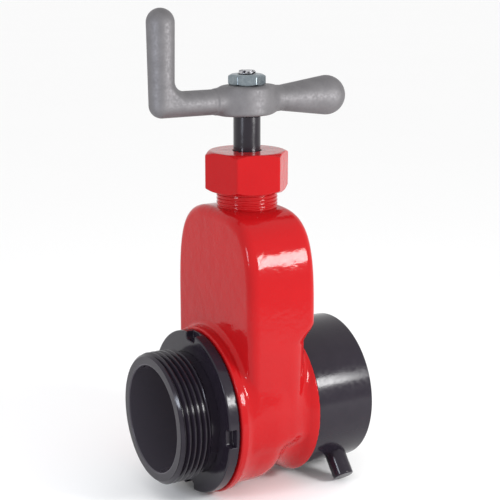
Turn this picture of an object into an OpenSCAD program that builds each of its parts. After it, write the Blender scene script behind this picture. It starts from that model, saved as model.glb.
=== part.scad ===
// Hydrant gate valve with a speed crank: male hose outlet, swivel hose inlet.
// Millimetres. The waterway runs along X, the stem points up +Z.
// Origin: centre of the swivel's open end face. +X leaves the swivel's mouth.

/* [Waterway] */
// Clear bore through adapters and seats
bore_d = 63.5; // [58:0.5:66]
// Length of the swivel along the flow
swivel_w = 38.6; // [36:0.2:42]
// Outlet's spanner flange to its end face
outlet_nose = 25.1; // [21:0.1:26]

/* [Hose thread] */
// Wall of the nozzle from the bore to its thread's crests
nozzle_wall = 7.22; // [6:0.01:8]
// Crest spacing
thread_pitch = 3.387; // [3:0.001:3.5]
// Crest to root, measured on the radius
thread_depth = 2.2; // [1.8:0.1:2.4]
// Number of crests on the outlet
outlet_crests = 6; // [4:1:6]
// Number of crests in the swivel
swivel_crests = 5; // [4:1:5]
// Radial room between mating crest and root
thread_room = 0.19; // [0.1:0.01:0.3]
// Outlet's end face to the middle of its first crest
outlet_lead = 1.8; // [1.5:0.1:2.4]
// Swivel's open face to the middle of its first crest
swivel_lead = 2.4; // [2:0.1:3]

/* [Gate] */
// How far the gate disc laps over the bore, all round
gate_lap = 2.25; // [1.5:0.05:3]
// Gate thickness along the flow
gate_t = 23.6; // [22:0.2:26]
// Play between a gate face and its seat
gate_play = 0.1; // [0.05:0.01:0.2]
// Width of the gate's upper block
gate_block_w = 34; // [30:1:40]
// Height of that block above the disc's edge
gate_head = 11.4; // [10:0.2:14]
// Wall of the gate nut beside the stem
gate_nut_wall = 2.05; // [1.6:0.05:2.4]
// Gate nut height
gate_nut_h = 10; // [8:0.5:11]

/* [Seats] */
// Seat ring wall round the bore
seat_wall = 4.2; // [3:0.1:5]
// Depth of a seat ring along the flow
seat_t = 5.5; // [4.5:0.1:6.5]

/* [Body casting] */
// Room beside the gate, each side
gate_side_room = 4.75; // [2:0.25:6]
// Room under the shut gate
gate_floor_room = 1.9; // [1:0.1:2.5]
// Room over the open gate
gate_crown_room = 5.425; // [3:0.005:7]
// Bonnet wall at its sides
bonnet_side_wall = 7.25; // [5:0.25:9]
// Bonnet wall along the flow
bonnet_face_wall = 10.25; // [8:0.25:12]
// Bonnet wall at its crown
bonnet_crown_wall = 4.3; // [4:0.1:8]
// How far the bonnet's middle sits off the stem axis
bonnet_shift = 1.55; // [0:0.05:2.5]
// Height of the bonnet's arch
arch_rise = 68.5; // [60:0.5:72]
// Squareness of the arch; 2 is an ellipse
arch_power = 3.5; // [2.5:0.1:3.5]
// Edge rounding of the bonnet
bonnet_round = 6; // [4:0.5:7]
// Foot of the inlet side's shoulder below the arch's spring
shoulder_drop = 5; // [2:0.5:10]
// Height of that shoulder
shoulder_h = 15; // [10:0.5:18]
// How far the shoulder reaches in from the waist's face
shoulder_in = 6; // [4:0.5:8]
// How far the waist steps in from the bonnet's inlet face
waist_step = 2.2; // [1.5:0.1:3]
// Corner rounding of the waist's inlet side
waist_round = 16; // [10:1:17]
// Height where the waist grows out of the barrel
waist_foot = 8; // [4:1:12]
// Height where the waist has its full width
waist_full = 24; // [20:1:30]
// How much narrower the waist is at its foot
waist_taper = 5; // [3:0.5:6]
// Barrel wall round the gate chamber
barrel_wall = 11.3; // [9:0.1:13]
// Depth of the groove behind the barrel
groove_drop = 5.3; // [4.4:0.1:6]
// Stem axis to the bottom of that groove
groove_reach = 9; // [8:0.5:10]
// Stem axis to where the barrel starts to fall into it
nose_reach = 9; // [8:0.5:11]
// Rounding from the barrel into the groove
barrel_round = 17.4; // [15:0.1:19]
// Length of the round bottom beyond the groove's deepest line
flare_run = 8.5; // [7:0.5:9]
// How far the outlet hub's rim stands out of the barrel
outlet_rim_step = 2.8; // [2:0.1:4]
// Width of the outlet hub's rim
outlet_rim_w = 4; // [3:0.5:6]
// Hollow between that rim and the barrel
rim_sweep = 26; // [16:1:36]
// How far the inlet hub's rim stands out of the barrel
inlet_rim_step = 0.3; // [0:0.1:1.5]
// Step from the seat's diameter out to an adapter's socket
socket_step = 2.05; // [1.5:0.05:3]
// Depth of the outlet adapter's socket
outlet_socket = 14.3; // [12:0.1:16]
// Depth of the inlet adapter's socket
inlet_socket = 5.6; // [5:0.1:8]
// Chamfer of machined and cast edges
edge = 0.8; // [0.4:0.1:1]

/* [Stem] */
// Stem diameter
stem_d = 15.9; // [14:0.1:17]
// Length of stem inside the gate when shut
stem_in = 12.4; // [11:0.1:15]
// Thrust collar's room in the stuffing box, on the radius
collar_room = 0.3; // [0.2:0.05:0.8]
// Thrust collar thickness
collar_t = 4; // [3:0.5:5]
// Step from the stem in to the flats of the drive square
tang_step = 1.95; // [1.6:0.05:2.4]
// Step from the stem in to the stud over the crank
stud_step = 2.6; // [2:0.05:3]
// Stud above its nut
stud_over = 2.1; // [1:0.1:5]
// Thread advance for each turn
stem_lead = 6.35; // [5:0.05:7]
// Turns of the crank from shut to open
crank_turns = 10.5; // [8:0.25:10.75]

/* [Neck] */
// Width of packing between stem and stuffing box
packing_w = 4.05; // [3.5:0.05:4.5]
// Depth of the stuffing box
stuffing_depth = 23; // [21:0.5:25]
// Neck wall round the stuffing box, to the thread's crests
neck_wall = 6; // [4:0.05:7]
// Neck thread spacing
neck_pitch = 2.1; // [1.8:0.1:2.4]
// Neck thread depth
neck_thread_depth = 0.6; // [0.6:0.1:1.1]
// Length of the neck above the bonnet
neck_h = 25.2; // [23:0.1:27]
// Length of neck that is sunk in the bonnet
neck_sunk = 8; // [6:0.5:9]

/* [Packing nut] */
// Wall of the nut at its flats
nut_wall = 4.225; // [4:0.025:6]
// Nut height
nut_h = 23.4; // [20:0.2:24]
// Nut's top above the neck's end
nut_rise = 7.4; // [5:0.2:8]
// Corner chamfer, measured on the height
nut_chamfer = 2; // [1:0.2:2.4]
// Turn of the nut's first corner from the -Y side
nut_turn = -42.4; // [-60:0.1:60]
// Gland flange thickness
gland_flange = 2.2; // [1.6:0.1:3]
// Gland length inside the stuffing box
gland_plunge = 8; // [6:0.5:10]

/* [Outlet adapter] */
// How far the spanner flange stays inside the hub's rim
flange_inset = 1.1; // [0.1:0.05:1.5]
// Spanner flange thickness
flange_t = 7.8; // [7:0.2:9]
// Unslotted ring at the back of the flange
flange_ring_t = 3.2; // [2:0.1:3.5]
// Width of a spanner slot
slot_w = 10.5; // [8:0.5:13]
// Depth of a spanner slot
slot_depth = 4.8; // [4:0.1:6]
// Angle of the first slot above the -Y side
slot_angle = -2; // [-20:0.5:20]

/* [Swivel] */
// Wall of the swivel outside its thread
swivel_wall = 5.89; // [5:0.01:8]
// Gap between the inlet hub and the swivel
swivel_gap = 0.4; // [0.2:0.1:0.8]
// Wall of the sleeve that carries the swivel
sleeve_wall = 4.55; // [4:0.05:5]
// Swivel's open face to the gasket recess floor
recess_depth = 21.3; // [20:0.1:22]
// Gasket thickness
gasket_t = 3.2; // [2.4:0.1:3.6]
// Gap round the gasket in its recess
gasket_gap = 0.9; // [0.2:0.1:1.2]
// Ball diameter of the race
ball_d = 4.76; // [4:0.01:5]
// Number of balls in the race
ball_count = 40; // [30:1:44]
// Hub face to the middle of the race
race_in = 7; // [6:0.5:9]
// Lug diameter
lug_d = 12.7; // [11:0.1:14]
// How far a lug stands out of the swivel
lug_out = 14.65; // [12:0.05:17]
// Swivel's open face to the middle of a lug
lug_in = 16; // [14:0.5:18]
// Angle of the first lug below the -Y side
lug_angle = 49.8; // [0:0.1:90]
// Diameter of a lug's shank
shank_d = 8; // [6:0.5:9]

/* [Crank] */
// Arm's axis above the packing nut
arm_rise = 29.2; // [20:0.2:36]
// Arm diameter
arm_d = 14.6; // [13:0.2:15.4]
// Stem axis to the grip's axis
grip_reach = 55; // [50:0.2:65]
// Grip diameter at its top
grip_d = 16; // [14.4:0.2:17]
// Grip's end above the arm's axis
grip_h = 53.6; // [40:0.2:65]
// Inner rounding of the elbow
elbow_round = 6.5; // [4:0.5:8]
// Hub diameter
hub_d = 28; // [26:0.5:32]
// Hub height
hub_h = 17.4; // [16:0.2:19]
// Length of the swelling along the arm
swell_len = 44; // [38:1:50]
// Counterweight diameter
bulb_d = 23.6; // [20:0.2:26]
// Stem axis to the counterweight's end
bulb_reach = 66.3; // [60:0.1:75]
// Wall of the stud nut at its flats
cap_wall = 4.175; // [3:0.025:4.5]
// Stud nut height
cap_h = 6.4; // [6:0.2:9]

/* [Hidden] */

$fn = 96;
joint_play = 0.05;   // radial play of a running or a screwed fit
face_play = 0.2;     // end play between turning faces

// waterway, gate and seats, measured from the stem axis
bore_r = bore_d / 2;
gate_d = bore_d + 2 * gate_lap;
gate_top = gate_d / 2 + gate_head;
gate_lift = crank_turns * stem_lead;
gate_nut_w = stem_d + 2 * gate_nut_wall;
seat_d = bore_d + 2 * seat_wall;
seat_face = gate_t / 2 + gate_play;
seat_back = seat_face + seat_t;
outlet_hub = seat_back + outlet_socket;
inlet_hub = seat_back + inlet_socket;
outlet_reach = outlet_hub + flange_t + outlet_nose;
inlet_reach = inlet_hub + swivel_gap + swivel_w;
stem_x = -inlet_reach;

// body casting
chamber_half = gate_t / 2 + 2 * gate_play;
chamber_w = gate_d + 2 * gate_side_room;
chamber_d = gate_d + 2 * gate_floor_room;
chamber_top = gate_top + gate_lift + gate_crown_room;
bonnet_w = chamber_w + 2 * bonnet_side_wall;
bonnet_t = 2 * (chamber_half + bonnet_face_wall);
bonnet_top = chamber_top + bonnet_crown_wall;
arch_spring = bonnet_top - arch_rise;
shoulder_low = arch_spring - shoulder_drop;
waist_reach = bonnet_t / 2 - bonnet_shift - waist_step;
barrel_r = chamber_d / 2 + barrel_wall;
groove_r = barrel_r - groove_drop;
outlet_rim_r = barrel_r + outlet_rim_step;
inlet_rim_r = barrel_r + inlet_rim_step;
socket_d = seat_d + 2 * socket_step;
seat_bore_d = seat_d + 2 * joint_play;

// thread shapes
thread_d = bore_d + 2 * nozzle_wall;
root_r = thread_d / 2 - thread_depth;
inner_crest_r = root_r + thread_room;
recess_d = thread_d + 2 * thread_room;
outlet_end_crest = outlet_reach - outlet_lead;
swivel_end_crest = inlet_reach - swivel_lead;

// swivel stations, measured from the stem axis
swivel_back = inlet_hub + swivel_gap;
swivel_r = recess_d / 2 + swivel_wall;
sleeve_d = bore_d + 2 * sleeve_wall;
recess_floor = inlet_reach - recess_depth;
sleeve_end = recess_floor - face_play;
race_x = inlet_hub + race_in;
race_r = ball_d / 2 + joint_play;
lug_floor = swivel_r - swivel_wall * 0.75;
plug_d = ball_d + 0.4;

// neck, nut and packing stack
stuffing_d = stem_d + 2 * packing_w;
neck_d = stuffing_d + 2 * neck_wall;
neck_top = bonnet_top + neck_h;
stuffing_floor = neck_top - stuffing_depth;
nut_af = neck_d + 2 * nut_wall;
nut_top = neck_top + nut_rise;
nut_foot = nut_top - nut_h;
gland_top = neck_top + gland_flange;
gland_foot = neck_top - gland_plunge;
collar_foot = stuffing_floor + joint_play;
collar_top = collar_foot + collar_t;

// crank stations
arm_z = nut_top + arm_rise;
hub_foot = arm_z - hub_h / 2;
hub_top = arm_z + hub_h / 2;
elbow_x = -grip_reach;
grip_top = arm_z + grip_h;
tang_af = stem_d - 2 * tang_step;
stud_d = stem_d - 2 * stud_step;
cap_af = stud_d + 2 * cap_wall;
stud_top = hub_top + cap_h + stud_over;

// ---- helpers ----

// Points of an arc, [along, out], from angle a to angle b
function arc(c, r, a, b, n = 8) =
    [for (i = [0 : n]) let (t = a + (b - a) * i / n) c + r * [cos(t), sin(t)]];

// Half width of an arch of half width w and rise h, at height z
function arch_half(w, h, z) =
    z <= arch_spring ? w : w * pow(1 - pow((z - arch_spring) / h, arch_power), 1 / arch_power);

// Outline of the bonnet's arch seen along the flow, from the height foot up
function arch(w, h, foot, n = 40) = concat(
    [[-arch_half(w, h, foot), foot]],
    [for (i = [0 : n])
        let (t = 180 - 180 * i / n, up = arch_spring + h * pow(abs(sin(t)), 2 / arch_power))
            if (up > foot + 0.5) [w * sign(cos(t)) * pow(abs(cos(t)), 2 / arch_power), up]],
    [[arch_half(w, h, foot), foot]]);

// A solid of revolution about X from an outline of [along, out] points
module turned(points) {
    rotate([0, 90, 0])
        rotate_extrude()
            polygon([for (p = points) [p[1], p[0]]]);
}

module rod_x(d, from, to) {
    turned([[from, 0], [to, 0], [to, d / 2], [from, d / 2]]);
}

module rod_z(d, from, to) {
    translate([0, 0, from]) cylinder(d = d, h = to - from);
}

// The bonnet's arch as a slab from x0 to x1
module arch_slab(w, h, foot, x0, x1) {
    translate([x0, 0, 0])
        rotate([90, 0, 90])
            linear_extrude(x1 - x0) polygon(arch(w, h, foot));
}

module in_body_place() {
    translate([stem_x, 0, 0]) children();
}

// ---- body ----

// Round barrel with both hubs. The barrel falls into the rear groove over a
// round nose, and the groove's round bottom runs on into the inlet hub's flare
module barrel_and_hubs() {
    rim_back = -outlet_hub + outlet_rim_w;
    fall = rim_sweep - outlet_rim_step;
    run = sqrt(rim_sweep * rim_sweep - fall * fall);
    nose = [-nose_reach, barrel_r - barrel_round];
    span = groove_reach + nose_reach;
    deep = groove_r - nose[1];
    valley_r = (span * span + deep * deep - barrel_round * barrel_round)
        / (2 * (barrel_round - deep));
    meet = atan2(deep + valley_r, span);
    turned(concat(
        [[-outlet_hub, 0], [-outlet_hub, outlet_rim_r - edge],
         [-outlet_hub + edge, outlet_rim_r], [rim_back, outlet_rim_r]],
        arc([rim_back + run, barrel_r + rim_sweep], rim_sweep, 270 - asin(run / rim_sweep), 270),
        arc(nose, barrel_round, 90, meet),
        arc([groove_reach, groove_r + valley_r], valley_r,
            180 + meet, 270 + asin(flare_run / valley_r)),
        [[inlet_hub - edge, inlet_rim_r], [inlet_hub, inlet_rim_r - edge], [inlet_hub, 0]]));
}

// Waist between barrel and bonnet; its inlet side has large corners, and its
// foot is drawn in so that it grows out of the rear groove
module waist() {
    thin = 0.02;
    lap = 2;
    hull() {
        translate([0, 0, waist_foot])
            linear_extrude(thin) waist_plan(waist_taper);
        translate([0, 0, waist_full])
            linear_extrude(shoulder_low + lap - waist_full) waist_plan(0);
    }
}

module waist_plan(inset) {
    back = -bonnet_t / 2 - bonnet_shift;
    half = bonnet_w / 2 - inset;
    reach = waist_reach - inset;
    polygon(concat(
        arc([back + bonnet_round, -half + bonnet_round], bonnet_round, 180, 270),
        arc([reach - waist_round, -half + waist_round], waist_round, 270, 360),
        arc([reach - waist_round, half - waist_round], waist_round, 0, 90),
        arc([back + bonnet_round, half - bonnet_round], bonnet_round, 90, 180)));
}

// Arched bonnet with rounded edges, as the hull of slices across the flow
module bonnet() {
    half = bonnet_t / 2;
    slices = 4;
    shoulder_x = waist_reach - shoulder_in;
    slope = shoulder_h / (half - bonnet_shift - shoulder_x);
    thin = 0.02;
    hull()
        for (side = [-1, 1], i = [0 : slices]) {
            turn = 90 * i / slices;
            inset = bonnet_round * (1 - cos(turn));
            x = side * (half - bonnet_round + bonnet_round * sin(turn)) - bonnet_shift;
            foot = shoulder_low + max(0, slope * (x - shoulder_x));
            arch_slab(bonnet_w / 2 - inset, arch_rise - inset, foot, x - thin / 2, x + thin / 2);
        }
}

module gate_chamber() {
    arch_slab(chamber_w / 2, chamber_top - arch_spring, 0, -chamber_half, chamber_half);
    rod_x(chamber_d, -chamber_half, chamber_half);
    rod_x(seat_bore_d, -seat_back, seat_back);
}

module neck() {
    core = neck_d - 2 * neck_thread_depth;
    crests = floor((neck_top - bonnet_top) / neck_pitch);
    rod_z(core, bonnet_top - neck_sunk, neck_top);
    for (i = [0 : crests - 1])
        translate([0, 0, neck_top - (i + 0.75) * neck_pitch])
            ridge(core / 2, neck_thread_depth, neck_pitch);
}

// One turn of a thread as a ring about Z, standing depth proud of radius r
module ridge(r, depth, pitch) {
    rotate_extrude()
        polygon([[r - 0.3, -pitch * 0.4], [r, -pitch * 0.4], [r + depth, -pitch / 8],
            [r + depth, pitch / 8], [r, pitch * 0.4], [r - 0.3, pitch * 0.4]]);
}

module valve_body() {
    color([0.82, 0.16, 0.15])
        in_body_place()
            difference() {
                union() {
                    barrel_and_hubs();
                    waist();
                    bonnet();
                    neck();
                }
                gate_chamber();
                rod_x(socket_d, -outlet_hub - 1, -seat_back);
                rod_x(socket_d, seat_back, inlet_hub + 1);
                rod_z(stem_d + 2 * joint_play, gate_top, neck_top + 1);
                rod_z(stuffing_d, stuffing_floor, neck_top + 1);
            }
}

// ---- seats, gate and stem ----

module seat_ring(side) {
    color([0.72, 0.5, 0.24])
        in_body_place()
            mirror([side < 0 ? 1 : 0, 0, 0])
                turned([[seat_face, bore_r + edge], [seat_face, seat_d / 2 - edge],
                    [seat_face + edge, seat_d / 2], [seat_back, seat_d / 2],
                    [seat_back, bore_r], [seat_face + edge, bore_r]]);
}

module seat_ring_outlet() {
    seat_ring(-1);
}

module seat_ring_inlet() {
    seat_ring(1);
}

module gate() {
    half = gate_t / 2;
    bevel = 1.2;
    stem_way = stem_d + 1.3;
    color([0.76, 0.55, 0.28])
        in_body_place()
            difference() {
                union() {
                    turned([[-half, 0], [-half, gate_d / 2 - bevel],
                        [-half + bevel, gate_d / 2], [half - bevel, gate_d / 2],
                        [half, gate_d / 2 - bevel], [half, 0]]);
                    translate([-half, -gate_block_w / 2, 0])
                        cube([gate_t, gate_block_w, gate_top]);
                }
                rod_z(stem_way, -gate_d, gate_top + 1);
                translate([-gate_nut_w / 2, -gate_nut_w / 2, gate_top - gate_nut_h])
                    cube([gate_nut_w, gate_nut_w, gate_nut_h + 1]);
            }
}

module gate_nut() {
    color([0.8, 0.62, 0.3])
        in_body_place()
            difference() {
                translate([-gate_nut_w / 2, -gate_nut_w / 2, gate_top - gate_nut_h])
                    cube([gate_nut_w, gate_nut_w, gate_nut_h]);
                rod_z(stem_d + 2 * joint_play, 0, gate_top + 1);
            }
}

module stem() {
    stem_foot = gate_top - stem_in;
    thread_top = gate_top + gate_lift;
    collar_d = stuffing_d - 2 * collar_room;
    depth = stem_lead * 0.2;
    turns = floor((thread_top - stem_foot) / stem_lead);
    tang_foot = hub_foot - 0.5;
    stud_foot = hub_top - 1;
    color([0.14, 0.13, 0.16])
        in_body_place() {
            rod_z(stem_d - 2 * depth, stem_foot, thread_top);
            for (i = [0 : turns - 1])
                translate([0, 0, stem_foot + (i + 0.6) * stem_lead])
                    ridge(stem_d / 2 - depth, depth, stem_lead);
            rod_z(stem_d, thread_top, tang_foot);
            rod_z(collar_d, collar_foot, collar_top);
            intersection() {
                rod_z(stem_d, tang_foot, stud_foot);
                translate([-tang_af / 2, -tang_af / 2, tang_foot])
                    cube([tang_af, tang_af, stud_foot - tang_foot]);
            }
            stud(stud_foot);
        }
}

// Threaded end of the stem, with a chamfer and a lathe centre
module stud(foot) {
    bevel = 1;
    centre_d = 4.6;
    rotate_extrude()
        polygon([[0, foot], [stud_d / 2, foot], [stud_d / 2, stud_top - bevel],
            [stud_d / 2 - bevel, stud_top], [centre_d / 2, stud_top],
            [0, stud_top - centre_d / 2]]);
}

// ---- packing ----

module packing() {
    rings = 3;
    foot = collar_top + face_play;
    each_h = (gland_foot - foot) / rings;
    groove = 0.4;
    color([0.6, 0.58, 0.5])
        in_body_place()
            difference() {
                rod_z(stuffing_d - 2 * joint_play, foot, gland_foot);
                rod_z(stem_d + 2 * joint_play, foot - 1, gland_foot + 1);
                for (i = [1 : rings - 1])
                    translate([0, 0, foot + i * each_h])
                        rotate_extrude()
                            polygon([[stuffing_d / 2 - groove, 0],
                                [stuffing_d / 2 + groove, -groove],
                                [stuffing_d / 2 + groove, groove]]);
            }
}

module packing_gland() {
    color([0.74, 0.56, 0.28])
        in_body_place()
            difference() {
                union() {
                    rod_z(stuffing_d - 2 * joint_play, gland_foot, neck_top);
                    rod_z(neck_d - 4, neck_top, gland_top);
                }
                rod_z(stem_d + 2 * joint_play, gland_foot - 1, gland_top + 1);
            }
}

module packing_nut() {
    across = nut_af / cos(30);
    cone = 30;
    drop = nut_chamfer;
    trim = across / 2 - drop / tan(cone);
    color([0.84, 0.17, 0.15])
        in_body_place()
            difference() {
                intersection() {
                    translate([0, 0, nut_foot])
                        rotate([0, 0, nut_turn - 90])
                            cylinder(d = across, h = nut_h, $fn = 6);
                    rotate_extrude()
                        polygon([[0, nut_foot], [trim, nut_foot],
                            [across / 2, nut_foot + drop], [across / 2, nut_top - drop],
                            [trim, nut_top], [0, nut_top]]);
                }
                rod_z(neck_d + 2 * joint_play, nut_foot - 1, gland_top);
                rod_z(stem_d + 1, nut_foot, nut_top + 1);
            }
}

// ---- outlet ----

module outlet_adapter() {
    end = outlet_reach;
    bevel = 0.45;
    color([0.13, 0.12, 0.15])
        in_body_place()
            mirror([1, 0, 0])
                difference() {
                    union() {
                        rod_x(socket_d - 2 * joint_play, seat_back, outlet_hub + 1);
                        flange_disc();
                        turned([[outlet_hub, 0], [outlet_hub, root_r],
                            [end - bevel, root_r], [end, root_r - bevel], [end, 0]]);
                        for (i = [0 : outlet_crests - 1])
                            translate([outlet_end_crest - i * thread_pitch, 0, 0])
                                rotate([0, 90, 0])
                                    ridge(root_r, thread_depth, thread_pitch);
                    }
                    rod_x(bore_d, 0, end + 1);
                    for (i = [0 : 3])
                        rotate([-slot_angle - 90 * i, 0, 0])
                            spanner_slot();
                }
}

module flange_disc() {
    flange_r = outlet_rim_r - flange_inset;
    front = outlet_hub + flange_t;
    turned([[outlet_hub, 0], [outlet_hub, flange_r - edge],
        [outlet_hub + edge, flange_r], [front - edge, flange_r],
        [front, flange_r - edge], [front, 0]]);
}

module spanner_slot() {
    floor_r = outlet_rim_r - flange_inset - slot_depth;
    translate([outlet_hub + flange_ring_t, -2 * floor_r, -slot_w / 2])
        cube([flange_t, floor_r, slot_w]);
}

// ---- inlet and swivel ----

module race_ring() {
    turned(arc([race_x, sleeve_d / 2], race_r, 0, 360, 24));
}

module inlet_adapter() {
    color([0.15, 0.14, 0.17])
        in_body_place()
            difference() {
                union() {
                    rod_x(socket_d - 2 * joint_play, seat_back, inlet_hub);
                    rod_x(sleeve_d, inlet_hub, sleeve_end);
                }
                rod_x(bore_d, 0, sleeve_end + 1);
                race_ring();
            }
}

module swivel_ring() {
    end = inlet_reach;
    bevel = 1;
    mouth = 1.6;
    race_bore_r = sleeve_d / 2 + joint_play;
    color([0.12, 0.11, 0.14])
        in_body_place()
            difference() {
                union() {
                    difference() {
                        turned([[swivel_back, 0], [swivel_back, swivel_r - bevel],
                            [swivel_back + bevel, swivel_r],
                            [end - bevel, swivel_r], [end, swivel_r - bevel],
                            [end, 0]]);
                        rod_x(2 * race_bore_r, swivel_back - 1, end + 1);
                        rod_x(recess_d, recess_floor, end + 1);
                        turned([[end - mouth, 0], [end + mouth, 0],
                            [end + mouth, recess_d / 2 + 2 * mouth],
                            [end - mouth, recess_d / 2]]);
                    }
                    for (i = [0 : swivel_crests - 1])
                        translate([swivel_end_crest - i * thread_pitch, 0, 0])
                            rotate([0, 90, 0])
                                inner_ridge();
                }
                race_ring();
                for (side = [0, 1])
                    lug_place(side)
                        rod_z(shank_d + 2 * joint_play, lug_floor, swivel_r + 1);
                plug_place()
                    rod_z(plug_d + 2 * joint_play, sleeve_d / 2, swivel_r + 1);
            }
}

// One turn of the swivel's thread as a ring pointing inward
module inner_ridge() {
    rotate_extrude()
        polygon([[inner_crest_r, -thread_pitch / 8], [inner_crest_r, thread_pitch / 8],
            [recess_d / 2, thread_pitch * 0.4], [recess_d / 2 + 0.3, thread_pitch * 0.4],
            [recess_d / 2 + 0.3, -thread_pitch * 0.4], [recess_d / 2, -thread_pitch * 0.4]]);
}

// Turns +Z to point out along a lug; side 1 is the opposite lug
module lug_place(side) {
    translate([inlet_reach - lug_in, 0, 0])
        rotate([90 + lug_angle + 180 * side, 0, 0])
            children();
}

// Turns +Z to point out through the race's filling hole
module plug_place() {
    translate([race_x, 0, 0])
        rotate([-50, 0, 0])
            children();
}

module swivel_lug(side) {
    foot = swivel_r - swivel_wall / 2;
    top = swivel_r + lug_out;
    color([0.12, 0.11, 0.14])
        in_body_place() {
            lug_place(side)
                rod_z(shank_d, lug_floor, swivel_r + 1);
            difference() {
                lug_place(side)
                    rotate_extrude()
                        polygon([[0, foot], [lug_d / 2, foot],
                            [lug_d / 2, top - edge], [lug_d / 2 - edge, top],
                            [0, top]]);
                rod_x(2 * swivel_r, swivel_back, inlet_reach);
            }
        }
}

module swivel_lug_front() {
    swivel_lug(0);
}

module swivel_lug_back() {
    swivel_lug(1);
}

module swivel_gasket() {
    inner_r = bore_r + 0.4;
    outer_r = recess_d / 2 - gasket_gap;
    top = recess_floor + gasket_t;
    color([0.2, 0.19, 0.19])
        in_body_place()
            turned([[recess_floor, inner_r], [recess_floor, outer_r],
                [top, outer_r], [top, inner_r]]);
}

module swivel_balls() {
    color([0.75, 0.75, 0.77])
        in_body_place()
            for (i = [0 : ball_count - 1])
                rotate([360 * i / ball_count, 0, 0])
                    translate([race_x, 0, sleeve_d / 2])
                        sphere(d = ball_d, $fn = 32);
}

module ball_plug() {
    slot = 0.9;
    top = swivel_r - 0.5;
    foot = sleeve_d / 2 + race_r + joint_play;
    color([0.16, 0.15, 0.18])
        in_body_place()
            plug_place()
                difference() {
                    rod_z(plug_d, foot, top);
                    translate([-plug_d, -slot / 2, top - slot])
                        cube([2 * plug_d, slot, slot + 1]);
                }
}

// ---- crank ----

module crank_handle() {
    color([0.66, 0.64, 0.62])
        in_body_place()
            difference() {
                union() {
                    arm();
                    grip();
                    hub();
                    counterweight();
                }
                translate([-tang_af / 2, -tang_af / 2, hub_foot - 1])
                    cube([tang_af, tang_af, hub_h + 2]);
            }
}

// Arm with its elbow; the elbow's outside is a ball, its inside a bend
module arm() {
    bend = elbow_round + arm_d / 2;
    rod_x_at(arm_d, elbow_x, 0);
    translate([elbow_x, 0, arm_z]) sphere(d = arm_d);
    translate([elbow_x + bend, 0, arm_z + bend])
        rotate([90, 0, 0])
            rotate([0, 0, 180])
                rotate_extrude(angle = 90)
                    translate([bend, 0]) circle(d = arm_d);
}

// A rod along X at the arm's height
module rod_x_at(d, from, to) {
    translate([0, 0, arm_z]) rod_x(d, from, to);
}

module grip() {
    ball_z = grip_top - grip_d / 2;
    translate([elbow_x, 0, 0])
        rotate_extrude()
            polygon(concat([[0, arm_z], [arm_d / 2, arm_z]],
                arc([0, ball_z], grip_d / 2, 0, 90, 12)));
}

// Barrel-shaped hub round the drive square, and the swelling along the arm
module hub() {
    half = swell_len / 2;
    mid = hub_h / 2;
    neck_r = arm_d / 2;
    bulge = (half * half + (mid - neck_r) * (mid - neck_r)) / (2 * (mid - neck_r));
    lean = asin(half / bulge);
    side = 2.6;
    translate([0, 0, arm_z])
        turned(concat([[-half, 0]], arc([0, mid - bulge], bulge, 90 + lean, 90 - lean, 12),
            [[half, 0]]));
    rotate_extrude()
        polygon([[0, hub_foot], [hub_d / 2 - side, hub_foot],
            [hub_d / 2, hub_foot + side * 1.6], [hub_d / 2, hub_top - side * 1.6],
            [hub_d / 2 - side, hub_top], [0, hub_top]]);
}

module counterweight() {
    r = bulb_d / 2;
    start = swell_len / 2 - 2;
    ball_x = bulb_reach - r;
    lean = asin((r - arm_d / 2) / (ball_x - start));
    translate([0, 0, arm_z])
        turned(concat([[start, 0], [start, arm_d / 2]],
            arc([ball_x, 0], r, 90 + lean, 0, 12)));
}

module handle_nut() {
    across = cap_af / cos(30);
    drop = 1;
    trim = cap_af / 2 - 0.2;
    color([0.62, 0.66, 0.7])
        in_body_place()
            difference() {
                intersection() {
                    translate([0, 0, hub_top])
                        rotate([0, 0, 30])
                            cylinder(d = across, h = cap_h, $fn = 6);
                    rotate_extrude()
                        polygon([[0, hub_top], [across / 2, hub_top],
                            [across / 2, hub_top + cap_h - drop],
                            [trim, hub_top + cap_h], [0, hub_top + cap_h]]);
                }
                rod_z(stud_d + 2 * joint_play, hub_top - 1, hub_top + cap_h + 1);
            }
}

valve_body();
seat_ring_outlet();
seat_ring_inlet();
outlet_adapter();
inlet_adapter();
swivel_ring();
swivel_lug_front();
swivel_lug_back();
swivel_gasket();
swivel_balls();
ball_plug();
gate();
gate_nut();
stem();
packing();
packing_gland();
packing_nut();
crank_handle();
handle_nut();
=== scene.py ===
import math

import bmesh
import bpy
import numpy as np
from mathutils import Matrix, Vector


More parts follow.
